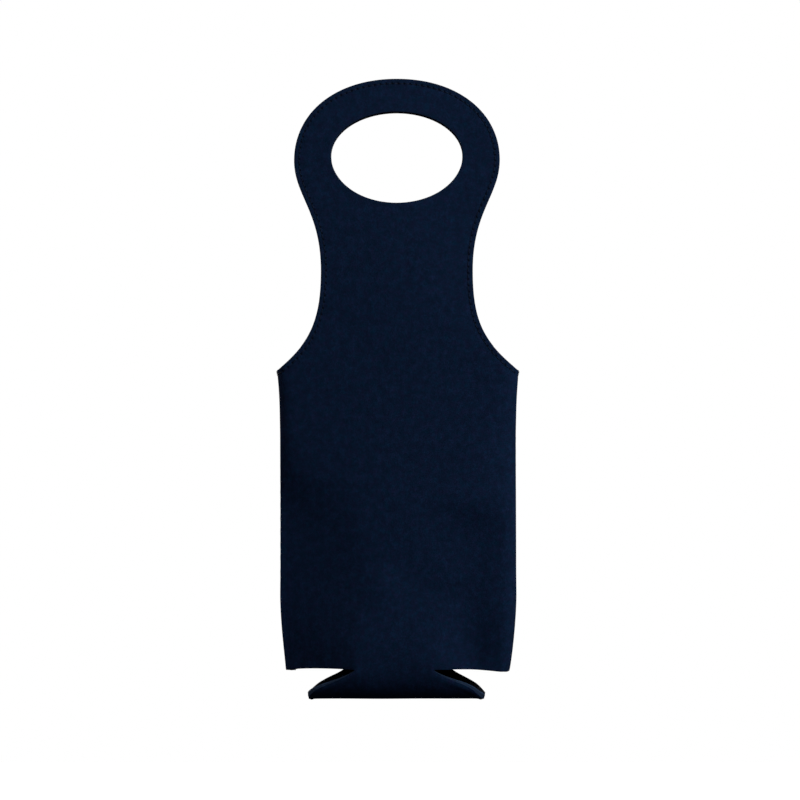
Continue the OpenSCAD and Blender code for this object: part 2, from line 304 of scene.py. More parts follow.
def section(share, z, depth):
    """Right half of the front's cross-section, from the strip's edge at 0 to the seam at 1."""
    opened = mouth_share(z)
    inset = SEAM_WIDTH * depth / LAMINATE * (1 - opened)
    reach = half_width(z) - inset - STRIP_HALF
    x = STRIP_HALF + reach * share
    y = (half_depth(z) - depth) * (rounded(share, z) * (1 - opened) + opened)
    return x, y


# Shares of the section, close together at the seam, where the cloth turns in steeply
ARC_SHARES = 1 - (1 - np.linspace(0, 1, ARC_SAMPLES)) ** 2


def arc_lengths(z):
    """For each height, the cloth's length from the strip's edge to each of ARC_SHARES."""
    x, y = section(ARC_SHARES[None, :], z[:, None], 0.0)
    steps = np.hypot(np.diff(x, axis=1), np.diff(y, axis=1))
    return np.concatenate([np.zeros((len(z), 1)), np.cumsum(steps, axis=1)], axis=1)


def share_at(c, z):
    """Share of the cross-section at a distance across the cloth from its middle."""
    table = arc_lengths(z)
    wanted = np.clip(np.abs(c) - STRIP_HALF, 0, table[:, -1])
    above = np.clip((table <= wanted[:, None]).sum(axis=1), 1, ARC_SAMPLES - 1)
    rows = np.arange(len(z))
    low, high = table[rows, above - 1], table[rows, above]
    part = (wanted - low) / np.maximum(high - low, TINY)
    return ARC_SHARES[above - 1] + part * (ARC_SHARES[above] - ARC_SHARES[above - 1])


def across_at(share, z):
    """Distance across the cloth from its middle, at a share of the cross-section."""
    table = arc_lengths(z)
    return STRIP_HALF + np.array([np.interp(s, ARC_SHARES, row) for s, row in zip(share, table)])


def bend_section():
    """The foot's bend, from the panel down to its middle.

    The rows are the length along the middle of the laminate, the outside's distance from the
    carrier's middle and its height, and the two parts of the direction into the laminate.
    """
    angle = np.linspace(0, math.pi / 2, BEND_SAMPLES)
    y = FOOT_RADIUS * np.cos(angle) ** (2 / BEND_ROUNDNESS)
    z = FOOT_RADIUS - FOOT_RADIUS * np.sin(angle) ** (2 / BEND_ROUNDNESS)
    along_y, along_z = np.gradient(y), np.gradient(z)
    length = np.hypot(along_y, along_z)
    into_y, into_z = along_z / length, -along_y / length
    middle_y, middle_z = y + LAMINATE / 2 * into_y, z + LAMINATE / 2 * into_z
    steps = np.hypot(np.diff(middle_y), np.diff(middle_z))
    return np.vstack([np.concatenate([[0], np.cumsum(steps)]), y, z, into_y, into_z])


BEND = bend_section()
FOOT_MIDDLE = FOOT_RADIUS - BEND[0, -1]


def in_foot(c, v):
    """Whether a cloth point lies below the notch between the panel and the foot."""
    across = np.abs(c)
    beside = across > STRIP_HALF
    return np.where(beside, v < NOTCH_START - NOTCH_SLOPE * (across - STRIP_HALF), v < FOOT_RADIUS)


def place(c, v, depth):
    """Places of the front half's cloth points, at a depth below its outside."""
    z = np.clip(v, HEM_HEIGHT, PANEL_TOP)
    x, y = section(share_at(c, z), z, depth)
    x = np.where(np.abs(c) > STRIP_HALF, x, np.abs(c)) * np.sign(c)
    t = np.clip((v - FOLD_HEIGHT + LEAN_REACH) / (2 * LEAN_REACH), 0, None)
    bent = np.where(t < 1, t ** 3 - t ** 4 / 2, t - 0.5)
    lean = HANDLE_LEAN * smooth(t)
    rise = np.maximum(v - FOLD_HEIGHT, 0)
    y = y - math.sin(HANDLE_LEAN) * 2 * LEAN_REACH * bent
    height = v - rise * (1 - math.cos(HANDLE_LEAN)) + (LAMINATE / 2 - depth) * np.sin(lean)
    bend_y, bend_z, into_y, into_z = (np.interp(FOOT_RADIUS - v, BEND[0], row) for row in BEND[1:])
    tip = smooth((np.abs(c) - FOOT_HALF_LENGTH) / TIP_REACH + 1)
    bevel = TIP_BEVEL * (1 - depth / LAMINATE) * tip
    foot_c = c - bevel * np.sign(c)
    foot = np.column_stack([foot_c, -bend_y - into_y * depth, bend_z + into_z * depth])
    body = np.column_stack([x, -y, height])
    return np.where(in_foot(c, v)[:, None], foot, body)


def normals(c, v):
    """Outward directions of the front half's cloth points."""
    inward = np.where(c > 0, -PROBE, PROBE)
    here = place(c, v, 0.0)
    across = (place(c + inward, v, 0.0) - here) * np.sign(inward)[:, None]
    up = place(c, v + PROBE, 0.0) - here
    facing = np.cross(across, up)
    return facing / np.linalg.norm(facing, axis=1)[:, None]


# The sewing pattern's outline, on the right of its middle
def bezier(a, b, c, d):
    t = np.linspace(0, 1, CURVE_SAMPLES)[:, None]
    a, b, c, d = (np.array(p, float) for p in (a, b, c, d))
    return (1 - t) ** 3 * a + 3 * (1 - t) ** 2 * t * b + 3 * (1 - t) * t ** 2 * c + t ** 3 * d


def resampled(line, step):
    """The line as points about a step apart, with its ends kept."""
    along = np.concatenate([[0], np.cumsum(np.linalg.norm(np.diff(line, axis=0), axis=1))])
    wanted = np.linspace(0, along[-1], max(2, round(along[-1] / step) + 1))
    return np.column_stack([np.interp(wanted, along, column) for column in line.T])


def outer_line():
    """The cut edge from the middle of the crown to the shoulder corner."""
    ring_drop = CARRIER_HEIGHT - RING_HEIGHT
    flank_rise = RING_HEIGHT - WAIST_HEIGHT
    waist_rise = WAIST_HEIGHT - SHOULDER_HEIGHT
    armhole_spread = SHOULDER_HALF - WAIST_HALF
    crown = bezier(
        (0, CARRIER_HEIGHT),
        (RING_HALF * CROWN_PULL_SHARES[0], CARRIER_HEIGHT),
        (RING_HALF, RING_HEIGHT + ring_drop * CROWN_PULL_SHARES[1]),
        (RING_HALF, RING_HEIGHT),
    )
    flank = bezier(
        (RING_HALF, RING_HEIGHT),
        (RING_HALF, RING_HEIGHT - flank_rise * FLANK_PULL_SHARES[0]),
        (WAIST_HALF, WAIST_HEIGHT + flank_rise * FLANK_PULL_SHARES[1]),
        (WAIST_HALF, WAIST_HEIGHT),
    )
    armhole = bezier(
        (WAIST_HALF, WAIST_HEIGHT),
        (WAIST_HALF, WAIST_HEIGHT - waist_rise * ARMHOLE_PULL_SHARES[0]),
        (
            SHOULDER_HALF - armhole_spread * ARMHOLE_PULL_SHARES[1],
            SHOULDER_HEIGHT + waist_rise * ARMHOLE_PULL_SHARES[2],
        ),
        (SHOULDER_HALF, SHOULDER_HEIGHT),
    )
    line = np.vstack([crown, flank[1:], armhole[1:]])
    mouth = line[:, 1] < PANEL_TOP
    x, z = line[mouth].T
    reach = (x - STRIP_HALF) / (half_width(z) - STRIP_HALF)
    line[mouth, 0] = across_at(np.clip(reach, 0, 1), z)
    return line


def seam_line():
    z = np.linspace(SHOULDER_HEIGHT, HEM_HEIGHT, CURVE_SAMPLES)
    return np.column_stack([across_at(np.ones_like(z), z), z])


def hem_line():
    angle = np.linspace(math.pi / 2, 0, CURVE_SAMPLES)
    z = FOOT_RADIUS - (FOOT_RADIUS - HEM_HEIGHT) * (1 - np.cos(angle))
    return np.column_stack([across_at(np.sin(angle), z), z])


def foot_line():
    """The foot's oval from the strip to its tip, measured round the bend."""
    neck = FOOT_RADIUS - STRIP_LENGTH
    spread = FOOT_HALF_LENGTH - STRIP_HALF
    reach = neck - FOOT_MIDDLE
    oval = bezier(
        (STRIP_HALF, neck),
        (
            STRIP_HALF + spread * FOOT_PULL_SHARES[0],
            FOOT_MIDDLE + reach * FOOT_PULL_SHARES[1],
        ),
        (
            STRIP_HALF + spread * FOOT_PULL_SHARES[2],
            FOOT_MIDDLE + reach * FOOT_PULL_SHARES[3],
        ),
        (FOOT_HALF_LENGTH, FOOT_MIDDLE),
    )
    return np.vstack([[(STRIP_HALF, FOOT_RADIUS)], oval])


def hole_reach(up):
    """How far the hand hole reaches above its widest part, or below it."""
    return np.where(up, HOLE_RISE, HOLE_FALL)


def hole_line():
    a = np.linspace(0, 2 * math.pi, 2 * CURVE_SAMPLES)
    rise = hole_reach(np.sin(a) > 0) * np.sin(a)
    return np.column_stack([HOLE_HALF_WIDTH * np.cos(a), HOLE_HEIGHT + rise])


def flipped(line):
    return line[::-1] * (-1, 1)


OUTER = resampled(outer_line(), OUTER_STEP)
SEAM = resampled(seam_line(), SEAM_STEP)
HEM = resampled(hem_line(), RAW_EDGE_STEP)
FOOT = resampled(foot_line(), RAW_EDGE_STEP)
HOLE = resampled(hole_line(), HOLE_STEP)
MIDDLE = resampled(np.array([(FOOT_HALF_LENGTH, FOOT_MIDDLE), (0, FOOT_MIDDLE)]), SEAM_STEP)
FULL_OUTER = np.vstack([flipped(OUTER)[:-1], OUTER])
RAW_LOWER = np.vstack([HEM, FOOT[1:]])


def nearest(points, line):
    """Distance of each point from a line, and how far along the line its foot lies."""
    start, step = line[:-1], np.diff(line, axis=0)
    lengths = np.linalg.norm(step, axis=1)
    before = np.concatenate([[0], np.cumsum(lengths)[:-1]])
    distance, along = np.empty(len(points)), np.empty(len(points))
    for chunk in np.array_split(np.arange(len(points)), max(1, len(points) // CHUNK_SIZE)):
        apart = points[chunk][:, None, :] - start
        t = np.clip((apart * step).sum(axis=2) / lengths ** 2, 0, 1)
        gap = np.linalg.norm(apart - t[:, :, None] * step, axis=2)
        best = gap.argmin(axis=1)
        rows = np.arange(len(chunk))
        distance[chunk] = gap[rows, best]
        along[chunk] = before[best] + t[rows, best] * lengths[best]
    return distance, along


class Edges:
    """Distances of cloth points from the edges of the pattern."""

    def __init__(self, c, v):
        points = np.column_stack([c, v])
        one_side = np.column_stack([np.abs(c), v])
        self.outer, self.outer_along = nearest(points, FULL_OUTER)
        self.seam, _ = nearest(one_side, SEAM)
        self.lower, _ = nearest(one_side, RAW_LOWER)
        self.hole, _ = nearest(points, HOLE)
        self.middle = v - FOOT_MIDDLE

    def least(self):
        return np.min([self.outer, self.seam, self.lower, self.hole, self.middle], axis=0)

    def raw(self):
        """Distance from the nearest edge that is cut and not sewn."""
        return np.min([self.outer, self.lower, self.hole], axis=0)


def offset_points(line, insets, closed=False):
    """Points beside a line, on its right-hand side, each with its distance from the line."""
    if closed:
        heading = np.roll(line[:-1], -1, axis=0) - np.roll(line[:-1], 1, axis=0)
        line = line[:-1]
    else:
        heading = np.gradient(line, axis=0)
    heading = heading / np.linalg.norm(heading, axis=1)[:, None]
    side = np.column_stack([heading[:, 1], -heading[:, 0]])
    return [(p[0], p[1], inset) for inset in insets for p in line + inset * side]


def spread_apart(candidates, taken):
    """The candidates that keep clear of each other and of the points already taken."""
    cells = {}

    def crowded(x, y, gap):
        column, row = int(x // LOOKUP_CELL), int(y // LOOKUP_CELL)
        for i in range(column - 1, column + 2):
            for j in range(row - 1, row + 2):
                for p, q in cells.get((i, j), ()):
                    if math.hypot(x - p, y - q) < gap:
                        return True
        return False

    def keep(x, y):
        cell = (int(x // LOOKUP_CELL), int(y // LOOKUP_CELL))
        cells.setdefault(cell, []).append((x, y))

    for x, y in taken:
        keep(x, y)
    kept = []
    for x, y, inset in candidates:
        if not crowded(x, y, min(WIDEST_GAP, LEAST_GAP + GAP_GROWTH * inset)):
            keep(x, y)
            kept.append((x, y))
    return kept


def in_hole(c, v):
    rise = v - HOLE_HEIGHT
    return (c / HOLE_HALF_WIDTH) ** 2 + (rise / hole_reach(rise > 0)) ** 2 < HOLE_SHARE


def inside(x, y, border):
    """Whether points lie within a closed outline."""
    crossings = np.zeros(len(x), int)
    for (x0, y0), (x1, y1) in zip(border, np.roll(border, -1, axis=0)):
        spans = (y0 > y) != (y1 > y)
        if spans.any():
            crossings += spans & (x < x0 + (y - y0) * (x1 - x0) / (y1 - y0))
    return crossings % 2 == 1


def inner_points(border):
    """Points inside the pattern, in rows beside its edges and in a grid, each with its inset."""
    sides = [(OUTER, OUTER_INSETS), (SEAM, SEAM_INSETS), (HEM, HEM_INSETS), (FOOT, FOOT_INSETS)]
    made = [p for line, insets in sides for p in offset_points(line, insets)]
    made += [(-x, y, inset) for x, y, inset in made]
    made += offset_points(HOLE, HOLE_INSETS, closed=True)
    rows = np.arange(FOOT_MIDDLE + GRID_STEP / 2, CARRIER_HEIGHT, GRID_STEP * math.sqrt(3) / 2)
    for i, v in enumerate(rows):
        shift = GRID_STEP / 2 * (i % 2)
        for c in np.arange(-GRID_COLUMNS, GRID_COLUMNS) * GRID_STEP + shift:
            made.append((c, v, GRID_STEP))
    made = np.array(made)
    made = made[inside(made[:, 0], made[:, 1], border)]
    c, v, inset = made.T
    return made[(Edges(c, v).least() >= INSET_SHARE * inset) & ~in_hole(c, v)]


def closed_line(start, count):
    """The pairs of neighbours in a closed line of numbered points."""
    return [(start + i, start + (i + 1) % count) for i in range(count)]


def pattern_mesh():
    """The half pattern's points in cloth coordinates and its triangles, and its area."""
    right = np.vstack([OUTER[:-1], SEAM[:-1], HEM[:-1], FOOT[:-1], MIDDLE])
    border = np.vstack([right, flipped(right)[1:-1]])
    hole = HOLE[:-1]
    taken = [tuple(p) for p in np.vstack([border, hole])]
    points = [Vector(p) for p in taken + spread_apart(inner_points(border), taken)]
    lines = closed_line(0, len(border)) + closed_line(len(border), len(hole))
    inside_triangles = 1
    made = delaunay_2d_cdt(points, lines, [], inside_triangles, WELD_REACH)
    flat = np.array([(p.x, p.y) for p in made[0]])
    triangles = np.array([f for f in made[2] if len(f) == 3])
    centres = flat[triangles].mean(axis=1)
    triangles = triangles[~in_hole(centres[:, 0], centres[:, 1])]
    a, b, c = (flat[triangles[:, i]] for i in range(3))
    turn = np.cross(b - a, c - a)
    triangles[turn < 0] = triangles[turn < 0][:, ::-1]
    return (flat, triangles), np.abs(turn).sum() / 2


# Unevenness, seams and edges
def ripple(c, v, seed):
    """Gentle waves in seeded directions, added up, from about -1 to 1."""
    rng = np.random.default_rng(seed)
    total = np.zeros(len(c))
    for length in RIPPLE_LENGTHS:
        heading, phase = rng.uniform(0, 2 * math.pi, 2)
        along = c * math.cos(heading) + v * math.sin(heading)
        total += np.sin(2 * math.pi * along / length + phase)
    return total / len(RIPPLE_LENGTHS)


def bell(distance, reach):
    return np.exp(-((distance / reach) ** 2))


def swelling(c, v, name):
    """The height of a half's swells and dents, added up."""
    total = np.zeros(len(c))
    for middle_c, middle_v, reach, cross_reach, turn, height in SWELLS[name]:
        cos, sin = math.cos(math.radians(turn)), math.sin(math.radians(turn))
        along = (c - middle_c) * cos + (v - middle_v) * sin
        across = (v - middle_v) * cos - (c - middle_c) * sin
        total += height * bell(np.hypot(along / reach, across / cross_reach), 1.0)
    return total


def relief(c, v, edges, name, seed):
    """How far the whole cloth, its outside and its inside stand out at each cloth point."""
    calm = smooth(edges.seam / RIPPLE_FADE) * smooth(edges.middle / RIPPLE_FADE)
    body = (RIPPLE_HEIGHT * ripple(c, v, seed) + swelling(c, v, name)) * calm
    raw = edges.raw()
    rounding = EDGE_ROUND * (1 - smooth(raw / EDGE_ROUND_REACH)) ** 2
    stitch_phase = 2 * math.pi * (edges.outer_along - STITCH_END_GAP) / STITCH_STEP
    pucker = 1 + PUCKER_SHARE * np.cos(stitch_phase)
    groove = GROOVE_DEPTH * bell(edges.outer - STITCH_INSET, GROOVE_REACH) * pucker
    puff = PUFF_HEIGHT * bell(raw - PUFF_INSET, PUFF_REACH)
    crease = CREASE_DEPTH * np.clip(1 - edges.seam / CREASE_REACH, 0, 1) ** 2
    crease = crease * (1 + PUCKER_SHARE * np.sin(2 * math.pi * v / CREASE_PITCH))
    lip = LIP_HEIGHT * bell(edges.seam - LIP_INSET, LIP_REACH)
    roll = ROLL_HEIGHT * bell(edges.lower - ROLL_INSET, ROLL_REACH) * in_foot(c, v)
    outside = puff + roll + lip - rounding - groove - crease
    inside_face = puff - rounding - groove
    return body, outside, inside_face


def drawn_in(c, v, depth, name):
    """How far the sides of a half lie in from the rounded section, or out where it is negative."""
    z = np.clip(v, HEM_HEIGHT, PANEL_TOP)
    share = share_at(c, z)
    to_straight = rounded(share, z) - (1 - share)
    to_square = (1 - rounded(share, z)) * (1 - share ** SQUARE_POWER)
    low, high = (np.where(c < 0, left, right) for left, right in STRAIGHT_SHARES[name])
    straight = low + (high - low) * smooth((v - STRAIGHT_HEIGHT) / STRAIGHT_FADE)
    drawn = straight * np.where(straight > 0, to_straight, to_square) * (half_depth(z) - depth)
    return np.where(in_foot(c, v), 0, drawn * (1 - mouth_share(z)))


def slide(c, v, name):
    """How far the cloth of a half lies off to the right, round the strip and the foot."""
    shift, spread, flare = FOOT_SLIDES[name]
    share = np.clip(c / STRIP_HALF, -1, 1)
    up = 1 - smooth((v - FOOT_RADIUS) / SLIDE_FADE)
    aside = 1 - smooth((np.abs(c) - STRIP_HALF) / SLIDE_FADE)
    panel = (shift + (spread + flare) * share) * up * aside
    foot = (shift + spread * share) * smooth((v - FOOT_MIDDLE) / SLIDE_RISE)
    foot += flare * share * smooth((v - FOOT_RADIUS) / FLARE_DROP + 1)
    return np.where(in_foot(c, v), foot, panel)


def sway(v):
    """How far the carrier hangs to the right of its middle: the body does, the ends don't."""
    (low, body), (top, ring) = SWAY_HEIGHTS
    share = smooth((v - low) / (body - low)) - smooth((v - top) / (ring - top))
    return SWAY * (2 * share - 1)


class Half:
    """One half of the carrier: its flat pattern laid in space."""

    def __init__(self, name, side, seed):
        self.name, self.side, self.seed = name, side, seed

    def points(self, c, v, depth, lift=0.0):
        """Places in metres, at a depth below the outside, moved out by a lift."""
        edges = Edges(c, v)
        body, outside, inside_face = relief(c, v, edges, self.name, self.seed)
        share = depth / LAMINATE
        out = body + (1 - share) * outside - share * inside_face + lift
        places = place(c, v, depth) + out[:, None] * normals(c, v)
        places[:, 1] += drawn_in(c, v, depth, self.name)
        places[edges.seam < PROBE, 1] = -SEAM_CLEARANCE
        places[edges.middle < PROBE, 1] = 0
        places[:, 0] += sway(v) + slide(c, v, self.name)
        places[:, 1] *= -self.side
        return (places + (0, 0, GROUND)) * MM


HALVES = [Half("front", side=-1, seed=11), Half("back", side=1, seed=23)]


def open_edges(triangles):
    """The directed edges that only one triangle has."""
    edges = np.vstack([triangles[:, [0, 1]], triangles[:, [1, 2]], triangles[:, [2, 0]]])
    present = set(map(tuple, edges))
    return [e for e in present if (e[1], e[0]) not in present]


def mesh_object(name, points, faces, material):
    mesh = bpy.data.meshes.new(name)
    mesh.from_pydata([tuple(p) for p in points], [], [tuple(int(i) for i in f) for f in faces])
    mesh.validate()
    mesh.shade_smooth()
    mesh.set_sharp_from_angle(angle=SHARP_ANGLE)
    mesh.materials.append(material)
    obj = bpy.data.objects.new(name, mesh)
    bpy.context.scene.collection.objects.link(obj)
    return obj


def uv_map(obj, name, coordinates):
    """Gives a mesh a UV map of flat coordinates, in metres."""
    layer = obj.data.uv_layers.new(name=name)
    corner = np.zeros(len(obj.data.loops), int)
    obj.data.loops.foreach_get("vertex_index", corner)
    layer.uv.foreach_set("vector", (coordinates[corner] * MM).astype(np.float32).ravel())


def bulged(half, flat, outer, inner, rim, bulge):
    """The points midway through a layer, moved out of the cut edges by a bulge."""
    middle = (outer + inner) / 2
    away = np.zeros_like(middle)
    for a, b in rim:
        outward = np.cross(middle[b] - middle[a], outer[a] - inner[a]) * -half.side
        outward /= max(np.linalg.norm(outward), TINY)
        away[a] += outward
        away[b] += outward
    length = np.maximum(np.linalg.norm(away, axis=1), TINY)[:, None]
    raw = Edges(*flat.T).raw() < PROBE
    return middle + np.where(raw[:, None], away / length * bulge * MM, 0)


def layer_piece(half, name, layer, pattern, material, bulge):
    """One layer of the laminate as a closed shell between two depths."""
    flat, triangles = pattern
    count = len(flat)
    outer_depth, inner_depth = DEPTHS[layer:layer + 2]
    outer = half.points(*flat.T, outer_depth)
    inner = half.points(*flat.T, inner_depth)
    points, cloth = [outer, inner], [flat, flat]
    depths = [np.full(count, outer_depth), np.full(count, inner_depth)]
    faces = [tuple(t) for t in triangles] + [tuple(t[::-1] + count) for t in triangles]
    rim = sorted(open_edges(triangles))
    if bulge:
        starts = [a for a, _ in rim]
        points.append(bulged(half, flat, outer, inner, rim, bulge)[starts])
        cloth.append(flat[starts])
        depths.append(np.full(len(starts), (outer_depth + inner_depth) / 2))
        midway = {a: 2 * count + i for i, a in enumerate(starts)}
        for a, b in rim:
            faces.append((b, a, midway[a], midway[b]))
            faces.append((midway[b], midway[a], a + count, b + count))
    else:
        faces += [(b, a, a + count, b + count) for a, b in rim]
    if half.side > 0:
        faces = [f[::-1] for f in faces]
    piece = mesh_object(f"{half.name}_{name}", np.vstack(points), faces, material)
    cloth = np.vstack(cloth)
    edges = Edges(*cloth.T)
    depths = np.concatenate(depths)
    uv_map(piece, "cloth", cloth)
    uv_map(piece, "edge", np.column_stack([edges.outer_along, edges.outer]))
    uv_map(piece, "depth", np.column_stack([depths, depths]))
    return piece


# Threads
NEARLY_PARALLEL = 0.1


def tube(path, radius, sides=6):
    """Points and faces of a closed tube along a path."""
    path = np.array(path)
    heading = np.gradient(path, axis=0)
    heading /= np.linalg.norm(heading, axis=1)[:, None]
    across = np.cross(heading[0], (0.0, 1.0, 0.0))
    if np.linalg.norm(across) < NEARLY_PARALLEL:
        across = np.cross(heading[0], (1.0, 0.0, 0.0))
    angles = np.arange(sides) * 2 * math.pi / sides
    rings = []
    for point, along in zip(path, heading):
        across = across - along * across.dot(along)
        across /= np.linalg.norm(across)
        up = np.cross(along, across)
        circle = np.cos(angles)[:, None] * across + np.sin(angles)[:, None] * up
        rings.append(point + radius * circle)
    points = np.vstack(rings)
    faces = []
    for i in range(len(path) - 1):
        for j in range(sides):
            a, b = i * sides + j, i * sides + (j + 1) % sides
            faces.append((a, b, b + sides, a + sides))
    last = (len(path) - 1) * sides
    faces.append(tuple(range(sides))[::-1])
    faces.append(tuple(last + j for j in range(sides)))
    return points, faces


def joined(tubes):
    points, faces, start = [], [], 0
    for tube_points, tube_faces in tubes:
        points.append(tube_points)
        faces += [tuple(i + start for i in f) for f in tube_faces]
        start += len(tube_points)
    return np.vstack(points), faces


# How high a stitch lies above the cloth, at shares of the way to the next needle hole
STITCH_RISES = ((0.0, -0.7), (0.08, -0.2), (0.2, 0.1), (0.5, 0.18), (0.8, 0.1), (0.92, -0.2))


def stitch_holes():
    """Needle holes along the stitch line, at equal steps."""
    along = np.concatenate([[0], np.cumsum(np.linalg.norm(np.diff(FULL_OUTER, axis=0), axis=1))])
    stops = np.arange(STITCH_END_GAP, along[-1] - STITCH_END_GAP, STITCH_STEP)
    middle = np.column_stack([np.interp(stops, along, column) for column in FULL_OUTER.T])
    heading = np.gradient(middle, axis=0)
    heading /= np.linalg.norm(heading, axis=1)[:, None]
    return middle + STITCH_INSET * np.column_stack([heading[:, 1], -heading[:, 0]])


def stitch_thread(half, depth):
    """The thread on one face of the cloth, as a tube that dives at each needle hole."""
    holes = stitch_holes()
    outward = 1 if depth == 0 else -1
    spots, lifts = [], []
    for start, end in zip(holes[:-1], holes[1:]):
        for share, rise in STITCH_RISES:
            spots.append(start + share * (end - start))
            lifts.append(outward * rise)
    spots, lifts = np.array(spots), np.array(lifts)
    path = half.points(spots[:, 0], spots[:, 1], depth, lifts)
    return tube(path, THREAD_RADIUS * MM)


def stitching(half, material):
    points, faces = joined([stitch_thread(half, 0.0), stitch_thread(half, LAMINATE)])
    return mesh_object(f"{half.name}_stitching", points, faces, material)


# The overlock's winding, the radius of its thread, and the radius of the thread at its core
OVERLOCK_PITCH = 2.4
OVERLOCK_RADIUS = 0.42
OVERLOCK_THREAD = 0.18
CORE_RADIUS = 0.22
OVERLOCK_SAMPLES = 9
# How far the overlock lies in from the seam allowance
BEAD_GAP = 0.75
TACK_HEIGHTS = (187.9, 188.5, 189.1, 189.7, 190.3)
TACK_REACH = 2.4
TACK_LIFT = 0.22
TACK_SAMPLES = 9


def overlock(side):
    """Threads of the turned seam, in the inner corner of the pocket: one winds round the other."""
    turns = (SHOULDER_HEIGHT - HEM_HEIGHT) / OVERLOCK_PITCH
    share = np.linspace(0, 1, round(turns * OVERLOCK_SAMPLES))
    z = HEM_HEIGHT + (SHOULDER_HEIGHT - HEM_HEIGHT) * share
    angle = 2 * math.pi * turns * share
    threads = []
    for winding, radius in ((OVERLOCK_RADIUS, OVERLOCK_THREAD), (0.0, CORE_RADIUS)):
        x = half_width(z) - SEAM_WIDTH - BEAD_GAP + winding * np.cos(angle)
        path = np.column_stack([side * x + sway(z), winding * np.sin(angle), z + GROUND]) * MM
        threads.append(tube(path, radius * MM, sides=5))
    return joined(threads)


def tack(side, height):
    """One stitch over the seam's end, from the front to the back."""
    reach = np.linspace(TACK_REACH, 0, TACK_SAMPLES)
    z = np.full(TACK_SAMPLES, height)
    edge = across_at(np.ones(TACK_SAMPLES), z)
    c = side * (edge - reach)
    lift = TACK_LIFT + CREASE_DEPTH * np.clip(1 - reach / CREASE_REACH, 0, 1) ** 2
    lift[0] = -TACK_LIFT
    front = HALVES[0].points(c, z, 0.0, lift)
    back = HALVES[1].points(c, z, 0.0, lift)
    return tube(np.vstack([front, back[-2::-1]]), THREAD_RADIUS * MM)


def side_seam(name, side, material):
    tacks = [tack(side, height) for height in TACK_HEIGHTS]
    points, faces = joined([overlock(side), *tacks])
    return mesh_object(name, points, faces, material)


# Materials
def linear(*levels):
    """A colour given as 0 to 255 levels of the screen, as linear light, by the sRGB curve."""
    shares = [level / 255 for level in levels]
    return [s / 12.92 if s <= 0.04045 else ((s + 0.055) / 1.055) ** 2.4 for s in shares] + [1.0]


def grey(level):
    return (level, level, level, 1.0)


class Material:
    """A node material with short ways to add and join nodes."""

    def __init__(self, name):
        self.made = bpy.data.materials.new(name)
        self.made.use_nodes = True
        self.tree = self.made.node_tree
        self.shader = self.tree.nodes["Principled BSDF"]

    def node(self, kind, inputs=(), **settings):
        made = self.tree.nodes.new(kind)
        for key, value in settings.items():
            setattr(made, key, value)
        for key, value in dict(inputs).items():
            if isinstance(value, bpy.types.NodeSocket):
                self.tree.links.new(value, made.inputs[key])
            else:
                made.inputs[key].default_value = value
        return made

    def math(self, operation, *inputs):
        return self.node("ShaderNodeMath", enumerate(inputs), operation=operation).outputs[0]

    def noise(self, vector, scale, detail=2.0, rough=0.5):
        sizes = {"Vector": vector, "Scale": scale, "Detail": detail, "Roughness": rough}
        return self.node("ShaderNodeTexNoise", sizes).outputs[0]

    def stretched(self, vector, scale):
        return self.node("ShaderNodeMapping", {"Vector": vector, "Scale": scale}).outputs["Vector"]

    def ramp(self, value, stops):
        ramp = self.node("ShaderNodeValToRGB", {"Fac": value})
        while len(ramp.color_ramp.elements) < len(stops):
            ramp.color_ramp.elements.new(0.5)
        for element, (position, colour) in zip(ramp.color_ramp.elements, stops):
            element.position = position
            element.color = colour
        return ramp.outputs["Color"]

    def mixed(self, share, first, second, blend="MIX"):
        """Two colours, mixed or multiplied. The node takes colours in its inputs 6 and 7."""
        colours = {0: share, 6: first, 7: second}
        made = self.node("ShaderNodeMix", colours, data_type="RGBA", blend_type=blend)
        return made.outputs[2]

    def bump(self, height, distance, normal=None):
        inputs = {"Height": height, "Distance": distance}
        if normal is not None:
            inputs["Normal"] = normal
        return self.node("ShaderNodeBump", inputs).outputs["Normal"]

    def finish(self, colour, rough, normal, specular):
        for key, socket in (("Base Color", colour), ("Roughness", rough), ("Normal", normal)):
            self.tree.links.new(socket, self.shader.inputs[key])
        self.shader.inputs["Specular IOR Level"].default_value = specular
        return self.made


# Pitches and heights in metres
WALE_PITCH = 0.00062
COURSE_PITCH = 0.00052
KNIT_HEIGHT = 0.00006
NAP_HEIGHT = 0.00016
DIMPLE_DEPTH = 0.00025
CELL_DEPTH = 0.00012
TWIST_HEIGHT = 0.00004
CHEVRON_SLANT = 1.4
ROW_SHARE = 0.35
DIMPLE_CORE = 0.35
# How far each needle-hole dimple is painted towards the hole colour, as painted shade
DIMPLE_PAINTED_SHADE = 0.75
# Scale per metre, detail and roughness of each noise. The fleck's scales are in its stretch
FLECK_NOISE = (1.0, 4.0, 1.0)
TINT_NOISE = (260.0, 3.0, 0.9)
NAP_NOISE = (420.0, 4.0, 0.65)
PATCH_NOISE = (320.0, 3.0, 0.6)
FLECK_STRETCH = (210.0, 175.0, 1.0)
CELL_SCALE = 2600.0
CELL_SHARE = 0.5
PATCH_SHARE = 0.6
TWIST_SCALE = 1500.0
TWIST_DISTORTION = 3.0
# How far the roughness goes up from its least value, and that value
MATT_ROUGHNESS = (0.2, 0.75)
THREAD_ROUGHNESS = (0.15, 0.5)
KNIT_SPECULAR = 0.02
FOAM_SPECULAR = 0.05
THREAD_SPECULAR = 0.08
